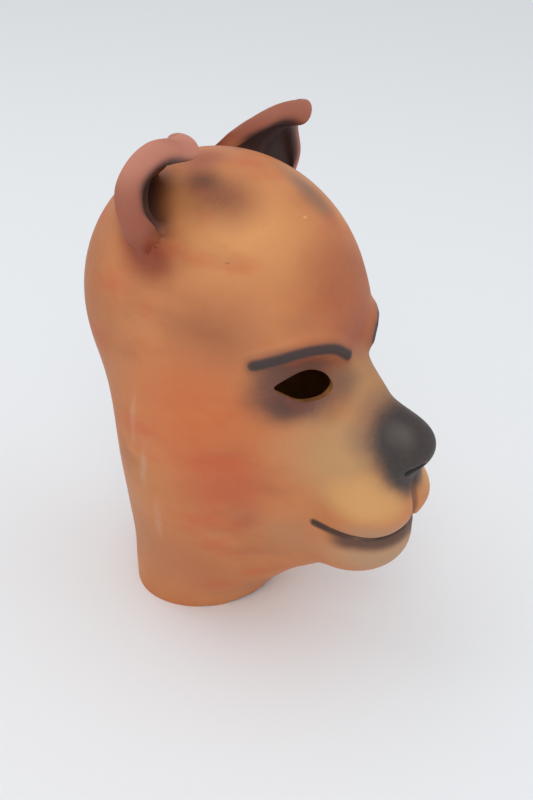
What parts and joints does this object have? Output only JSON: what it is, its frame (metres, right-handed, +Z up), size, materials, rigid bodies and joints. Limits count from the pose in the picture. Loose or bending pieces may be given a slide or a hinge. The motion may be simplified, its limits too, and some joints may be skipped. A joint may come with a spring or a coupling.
{
  "type": "bear mask",
  "caption": "Full-head moulded latex bear mask with upright cupped ears, cut eye holes, long muzzle, raised brows and an open neck.",
  "frame": {"origin": "under the middle of the mask, in the plane of the neck hem that it stands on", "axes": "+Z up from the neck hem to the ears, -Y the way the face looks, +X the bear's left"},
  "size_m": [0.1866, 0.2602, 0.3325],
  "materials": {
    "painted_latex": "matte airbrushed latex"
  },
  "bodies": {
    "root": {"mask_shell": "painted_latex"}
  },
  "joints": []
}
